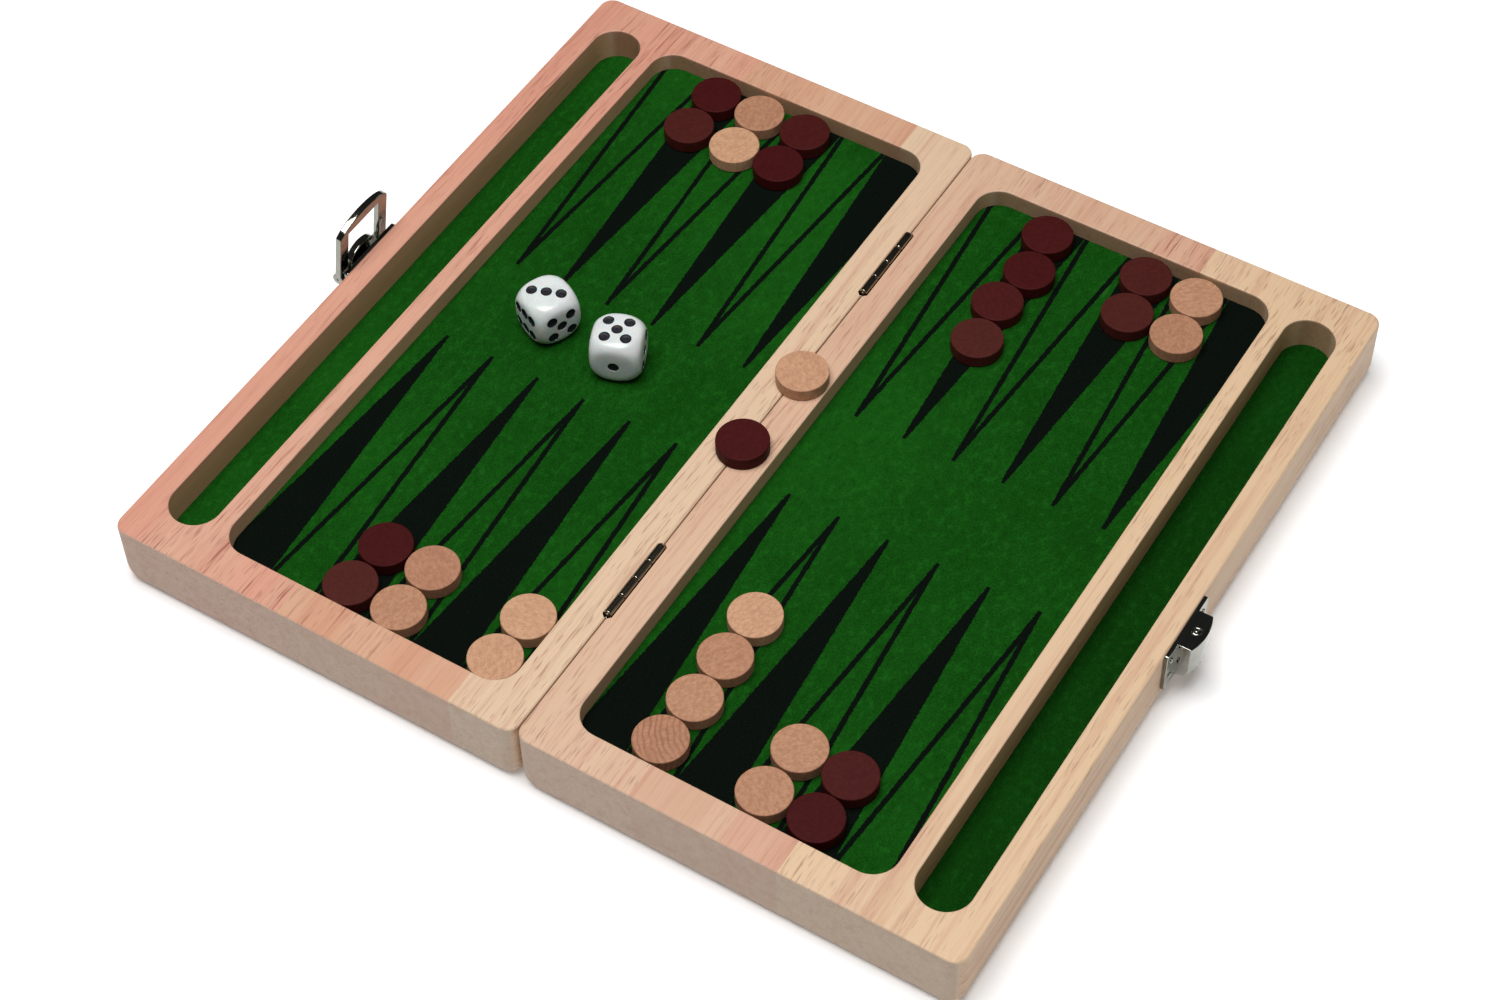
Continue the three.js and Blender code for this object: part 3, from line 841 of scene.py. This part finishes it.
def make_checkers():
    chance = random.Random(12)
    finishes = {
        "dark": checker_material("checker_stained", srgb(68, 20, 19), srgb(56, 13, 13),
                                 srgb(38, 8, 8), 0.05),
        "light": checker_material("checker_natural", srgb(178, 131, 101), srgb(146, 99, 74),
                                  srgb(120, 76, 54), 0.15),
    }
    for node in sorted(n for n in frame["nodes"] if n.startswith("checker_")):
        low, high = node_box(node)
        colour = node.split("_")[1]
        radius, thick = (high.x - low.x) / 2, high.z - low.z
        made = to_object(f"{node}_disc", turned(checker_profile(radius, thick), CHECKER_STEPS))
        away, where = chance.uniform(8, 40), chance.uniform(0, 2 * math.pi)
        heart = (away * MM * math.cos(where), away * MM * math.sin(where), 0)
        rings = 0.95 if node == CHECKER_RINGED else chance.uniform(0.03, 0.2)
        tone = CHECKER_TONES.get(node, chance.random())
        write_attribute(made.data, "heart", "FLOAT_VECTOR", "vector", heart)
        write_attribute(made.data, "tone", "FLOAT", "value", [tone])
        write_attribute(made.data, "rings", "FLOAT", "value", [rings])
        middle = (low + high) / 2
        made.location = Vector((middle.x, middle.y, low.z)) * MM
        made.rotation_euler = (0, 0, chance.uniform(0, 2 * math.pi))
        piece(made, node, BODY_OF[node], f"checker_{colour}", finishes[colour])


# ---------------------------------------- dice

DIE_SQUARENESS = 7.5     # exponent of the faces' rounding: higher is boxier
DIE_CORNER = 10.9        # from the centre to the rounded corners
DIE_BLEND = 18           # how sharply faces and corners meet: higher is sharper
DIE_CELLS = 28           # cuts across each face of the mesh
PIP_RADIUS, PIP_DEPTH, PIP_SPREAD = 1.86, 0.5, 3.4
PIP_SINK = 0.06          # lowers the outer pips, where the face curves away
# From a pip's middle outward: share of its radius, share of its depth
PIP_PROFILE = [(0, 0.85), (0.2, 0.88), (0.4, 1), (0.65, 0.9), (0.88, 0.6), (0.97, 0.22)]
PIP_PLACES = {
    1: [(0, 0)],
    2: [(-1, 1), (1, -1)],
    3: [(-1, 1), (0, 0), (1, -1)],
    4: [(-1, -1), (-1, 1), (1, -1), (1, 1)],
    5: [(-1, -1), (-1, 1), (0, 0), (1, -1), (1, 1)],
    6: [(-1.14, -0.95), (0, -0.95), (1.14, -0.95), (-1.14, 0.95), (0, 0.95), (1.14, 0.95)],
}
# What each die shows on its +Z, -Y and +X faces, and its turn about Z in degrees
DICE = {"die_1": ((3, 5, 1), 66), "die_2": ((5, 1, 3), 22)}


def die_surface(direction, half):
    """How far a die's surface is from its centre in a direction, pips aside."""
    box = half / sum(abs(c) ** DIE_SQUARENESS for c in direction) ** (1 / DIE_SQUARENESS)
    return (box ** -DIE_BLEND + DIE_CORNER ** -DIE_BLEND) ** (-1 / DIE_BLEND)


def die_body(half):
    """A cube whose faces swell a little and whose corners are ground round."""
    bm = bmesh.new()
    bmesh.ops.create_cube(bm, size=2)
    bmesh.ops.subdivide_edges(bm, edges=bm.edges, cuts=DIE_CELLS, use_grid_fill=True)
    for v in bm.verts:
        direction = Vector([math.tan(c * math.pi / 4) for c in v.co]).normalized()
        v.co = direction * die_surface(direction, half)
    return bm


def pip_cutter(half):
    """A shallow drilled pip on the top face, deepest in a ring round its middle."""
    section = [(PIP_RADIUS * out, -PIP_DEPTH * down) for out, down in PIP_PROFILE]
    section += [(PIP_RADIUS, 0.2), (PIP_RADIUS, 1.2), (0, 1.2)]
    return moved(turned(section, 32), Matrix.Translation((0, 0, half)))


def die_faces(top, front, right):
    """Each number's turn from the top face to its own; opposite faces add up to seven."""
    quarter = math.pi / 2
    return {top: Matrix.Identity(4), 7 - top: Matrix.Rotation(math.pi, 4, "X"),
            front: Matrix.Rotation(quarter, 4, "X"), 7 - front: Matrix.Rotation(-quarter, 4, "X"),
            right: Matrix.Rotation(quarter, 4, "Y"), 7 - right: Matrix.Rotation(-quarter, 4, "Y")}


def make_dice():
    white, black = die_material(), pip_material()
    for name, (shown, turn) in DICE.items():
        low, high = node_box(name)
        half = (high.z - low.z) / 2
        cutters = []
        for count, aim in die_faces(*shown).items():
            for u, v in PIP_PLACES[count]:
                if count == 6 and abs(aim[0][2]) > 0.5:
                    u, v = v, u
                spot = Matrix.Translation((u * PIP_SPREAD, v * PIP_SPREAD, 0))
                sunk = Matrix.Translation((0, 0, -PIP_SINK * math.hypot(u, v) ** 2))
                cutters.append(moved(pip_cutter(half), aim @ spot @ sunk))
        made = without(to_object(f"{name}_plastic", die_body(half)), cutters)
        for face in made.data.polygons:
            centre = face.center / MM
            surface = die_surface(centre.normalized(), half)
            face.material_index = int(centre.length < surface - 0.05)
        made.location = (low + high) / 2 * MM
        made.rotation_euler = (0, 0, math.radians(turn))
        piece(made, name, BODY_OF[name], "die", white, black, sharp=28)


# ---------------------------------------- hinges

BARREL_RADIUS, BARREL_BORE = 1.35, 0.75
KNUCKLES, KNUCKLE_GAP = 4, 0.2
HINGE_LENGTH = 29.4
KNUCKLE_EASE = 0.32
LEAF_THICK, LEAF_TALL = 0.9, 13.0
LEAF_TOP = 1.75          # the leaf's upper edge, below the pin
NECK_LOW, NECK_HIGH = 2.2, 0.5   # the necks that carry the knuckles, below the pin


def rod(x, z, radius, y0, y1, ease, steps=32):
    """A rod along Y with eased ends."""
    quarter = [math.radians(i * 30) for i in range(4)]
    profile = [(0, y0)]
    profile += [(radius - ease * (1 - math.sin(a)), y0 + ease * (1 - math.cos(a)))
                for a in quarter]
    profile += [(radius - ease * (1 - math.cos(a)), y1 - ease * (1 - math.sin(a)))
                for a in quarter]
    profile += [(0, y1)]
    lay = Matrix.Translation((x, 0, z)) @ Matrix.Rotation(-math.pi / 2, 4, "X")
    return moved(turned(profile, steps), lay)


def hinge_leaf(node, side, pin):
    """A flat leaf let into the seam, with two knuckles curled round the pin."""
    half = HINGE_LENGTH / 2
    x0, x1 = sorted((side * (SEAM + 0.1), side * (SEAM + 0.1 + LEAF_THICK)))
    outline = [(pin.y - half, TOP - LEAF_TALL), (pin.y + half, TOP - LEAF_TALL),
               (pin.y + half, pin.z - LEAF_TOP), (pin.y - half, pin.z - LEAF_TOP)]
    parts = [bevelled(standing(outline, x0, x1), 0.12, 2)]
    pitch = HINGE_LENGTH / KNUCKLES
    for place in range(0 if side < 0 else 1, KNUCKLES, 2):
        y0 = pin.y - half + place * pitch + KNUCKLE_GAP / 2
        y1 = y0 + pitch - KNUCKLE_GAP
        neck = [(y0, pin.z - NECK_LOW), (y1, pin.z - NECK_LOW),
                (y1, pin.z - NECK_HIGH), (y0, pin.z - NECK_HIGH)]
        parts.append(standing(neck, x0, x1))
        parts.append(rod(pin.x, pin.z, BARREL_RADIUS, y0, y1, KNUCKLE_EASE))
    made = joined(f"{node}_plate", parts)
    bore = rod(pin.x, pin.z, BARREL_BORE, pin.y - half - 1, pin.y + half + 1, 0.05, 24)
    return without(made, [bore])


def make_hinges(nickel):
    for where in ("front", "back"):
        pin_node = f"hinge_{where}_pin"
        low, high = node_box(pin_node)
        pin = (low + high) / 2
        for side, half_name in ((-1, "left"), (1, "right")):
            node = f"hinge_{where}_{half_name}_leaf"
            piece(hinge_leaf(node, side, pin), node, BODY_OF[node], "nickel", nickel)
        rod_mesh = rod(pin.x, pin.z, (high.z - low.z) / 2, low.y, high.y, 0.2)
        piece(to_object(f"{pin_node}_rod", rod_mesh), pin_node, BODY_OF[pin_node], "nickel",
              nickel)


# ---------------------------------------- latch and catch

# x is the distance out from the side face, y runs along it, z is measured from the top face
PLATE_THICK, PLATE_HALF, PLATE_TALL, PLATE_TOP, PLATE_RADIUS = 1.3, 13.1, 16, 0.3, 0.8
LEVER_X, LEVER_Z, LEVER_BARREL, LEVER_HALF = 3.5, -12, 1.9, 6.9
LEVER_THICK, LEVER_TOP = 2.6, 1.0
LEVER_EYE = 1.9          # the lever's metal on either side of the bail's pin
EAR_GAP, EAR_END = 0.3, 1.5      # an ear's two faces, past the end of the lever
BULGE_POWER = 0.6        # how square the lever's dome and the bail's arch are: lower is squarer
BAIL_X, BAIL_Z, BAIL_LEAN, BAIL_RISE, BAIL_ARCH = 5.15, -6.2, 9, 20.1, 4.4
BAIL_OUTER, BAIL_ARM, BAIL_THICK, BAIL_EYE = 12.4, 4.3, 2.2, 2.1
CATCH_HALF, CATCH_ENDS, CATCH_BULGE, CATCH_TALL = 7.2, 5.7, 7.25, 14.5


def on_side(bm, side):
    """Moves a latch piece to its side of the set: -1 left, +1 right."""
    place = Matrix.Translation((side * HALF_WIDTH, node_centre("latch_plate").y, TOP))
    return moved(bm, place @ Matrix.Rotation(0 if side > 0 else math.pi, 4, "Z"))


def side_plate():
    outline = rounded_rect(-PLATE_HALF, PLATE_HALF, -PLATE_TOP - PLATE_TALL, -PLATE_TOP,
                           PLATE_RADIUS, 6)
    return bevelled(standing(outline, LIE_GAP, PLATE_THICK), 0.22, 3)


def latch_plate():
    """The base plate, with two ears that hold the lever's pin."""
    bar = LEVER_BARREL
    round_end = [(LEVER_X + bar * math.cos(a), LEVER_Z + bar * math.sin(a))
                 for a in (math.radians(d) for d in range(-90, 91, 15))]
    ear = [(PLATE_THICK - 0.5, LEVER_Z - bar)] + round_end + [(PLATE_THICK - 0.5, LEVER_Z + bar)]
    solids = [side_plate()]
    for s in (-1, 1):
        y0, y1 = sorted((s * (LEVER_HALF + EAR_GAP), s * (LEVER_HALF + EAR_END)))
        solids.append(bevelled(along(ear, y0, y1), 0.16, 2))
    return joined("latch_plate_steel", [on_side(bm, -1) for bm in solids])


def latch_lever():
    """A barrel on the lever's pin, an arm out to the bail's pin, and a domed thumb tab."""
    side = LEVER_HALF
    rise = LEVER_TOP - BAIL_Z
    dome = [(side * math.cos(a), BAIL_Z + rise * abs(math.sin(a)) ** BULGE_POWER)
            for a in (math.radians(d) for d in range(0, 181, 6))]
    x0 = BAIL_X - LEVER_EYE
    tab = standing(dome + [(-side, BAIL_Z - 1), (side, BAIL_Z - 1)], x0, x0 + LEVER_THICK)
    arm = along([(LEVER_X - 1.6, LEVER_Z), (LEVER_X + 1.2, LEVER_Z - 1.4),
                 (BAIL_X + LEVER_EYE, BAIL_Z - 0.4), (BAIL_X + LEVER_EYE, BAIL_Z + 1.1),
                 (BAIL_X + 0.7, BAIL_Z + 2.2), (x0, BAIL_Z + 2.2)], -side, side)
    barrel = rod(LEVER_X, LEVER_Z, LEVER_BARREL, -side, side, 0.3)
    solids = [bevelled(tab, 0.45, 3), bevelled(arm, 0.3, 3), barrel]
    return joined("latch_lever_steel", [on_side(bm, -1) for bm in solids])


def latch_bail():
    """A flat loop on two round eyes, its bar with an arched outer edge."""
    inner = BAIL_OUTER - BAIL_ARM
    front = BAIL_THICK / 2
    edge = []
    for i in range(41):
        t = math.cos(math.pi * i / 40)
        edge.append((t * BAIL_OUTER, BAIL_RISE + BAIL_ARCH * (1 - t * t) ** BULGE_POWER))
    loop = [(BAIL_OUTER, 0)] + edge + [(-BAIL_OUTER, 0), (-inner, 0), (-inner, BAIL_RISE),
                                       (inner, BAIL_RISE), (inner, 0)]
    solids = [bevelled(standing(loop, -front, front), 0.35, 3)]
    eye = circle(BAIL_EYE, 32)
    for s in (-1, 1):
        y0, y1 = sorted((s * inner, s * BAIL_OUTER))
        solids.append(bevelled(along(eye, y0, y1), 0.3, 3))
    lean = Matrix.Translation((BAIL_X, 0, BAIL_Z)) @ Matrix.Rotation(
        math.radians(-BAIL_LEAN), 4, "Y")
    return joined("latch_bail_steel", [on_side(moved(bm, lean), -1) for bm in solids])


def catch_box():
    """A box with a bulging face on its plate, drawn in towards its lower end."""
    def outline(shrink):
        arc = []
        for i in range(25):
            t = i / 12 - 1
            out = CATCH_ENDS + (CATCH_BULGE - CATCH_ENDS) * (1 - t * t)
            arc.append((out - shrink, t * (CATCH_HALF - shrink * 0.15)))
        return [(PLATE_THICK - 0.6, -CATCH_HALF)] + arc + [(PLATE_THICK - 0.6, CATCH_HALF)]

    # How much the outline shrinks at each height
    levels = [(3.2, -CATCH_TALL), (2.1, 0.35 - CATCH_TALL), (1.2, 1 - CATCH_TALL),
              (0.65, 1.75 - CATCH_TALL), (0.3, 2.6 - CATCH_TALL), (0, 4.5 - CATCH_TALL), (0, 0)]
    body = loft([[(x, y, z - PLATE_TOP) for x, y in outline(shrink)] for shrink, z in levels])
    solids = [side_plate(), bevelled(body, 0.28, 3, 50)]
    return joined("catch_box_steel", [on_side(bm, 1) for bm in solids])


def arch(x, width, z, height, stop=90):
    """Points of a round, from its outer side up and inward to so many degrees."""
    turns = [math.radians(d) for d in range(0, stop, 15)]
    return [(x + width * math.cos(a), z + height * math.sin(a)) for a in turns]


def nail_head(node):
    """A low dome on a side plate, standing out along X."""
    low, high = node_box(node)
    radius, height = (high.y - low.y) / 2, high.x - low.x
    dome = arch(0, radius, height * 0.15, height * 0.85)
    profile = [(0, 0), (radius, 0)] + dome + [(0, height)]
    middle = node_centre(node)
    side = 1 if middle.x > 0 else -1
    place = Matrix.Translation((low.x if side > 0 else high.x, middle.y, middle.z))
    turn = Matrix.Rotation(side * math.pi / 2, 4, "Y")
    return to_object(f"{node}_head", moved(turned(profile, 28), place @ turn))


def rivet_head(node):
    """A rolled rim round a knob, standing up along Z."""
    low, high = node_box(node)
    radius, height = (high.y - low.y) / 2, high.z - low.z
    rim = arch(radius * 0.76, radius * 0.24, height * 0.1, height * 0.9, 181)
    knob = arch(0, radius * 0.34, height * 0.1, height * 0.85)
    profile = [(0, 0), (radius, 0)] + rim + knob + [(0, height * 0.95)]
    middle = node_centre(node)
    place = Matrix.Translation((middle.x, middle.y, low.z))
    return to_object(f"{node}_head", moved(turned(profile, 28), place))


def make_latch(chrome):
    for node, make in (("latch_plate", latch_plate), ("latch_lever", latch_lever),
                       ("latch_bail", latch_bail), ("catch_box", catch_box)):
        piece(make(), node, BODY_OF[node], "chrome", chrome)
    for node in ("latch_lever_pin", "latch_bail_pin"):
        low, high = node_box(node)
        middle = (low + high) / 2
        mesh = rod(middle.x, middle.z, (high.z - low.z) / 2, low.y, high.y, 0.15, 20)
        piece(to_object(f"{node}_rod", mesh), node, BODY_OF[node], "chrome", chrome)
    for node in sorted(n for n in frame["nodes"] if "_nail_" in n):
        piece(nail_head(node), node, BODY_OF[node], "chrome", chrome)
    piece(rivet_head("catch_rivet"), "catch_rivet", BODY_OF["catch_rivet"], "chrome", chrome)


# ---------------------------------------- floor

FLOOR_HALF = 4000


def make_floor():
    bm = bmesh.new()
    bmesh.ops.create_grid(bm, x_segments=4, y_segments=4, size=FLOOR_HALF)
    floor = to_object("floor", bm)
    floor.data.materials.append(floor_material())


make_camera()
make_light()
make_floor()
make_boards()
make_felts()
make_checkers()
make_dice()
make_hinges(metal_material("nickel", srgb(156, 148, 130), srgb(132, 124, 108),
                           roughness=0.1, scratch=0.003, edge_wear_and_highlight=0.35))
make_latch(metal_material("chrome", srgb(148, 149, 141), srgb(136, 137, 129),
                          roughness=0.05, scratch=0.006, edge_wear_and_highlight=0.06))
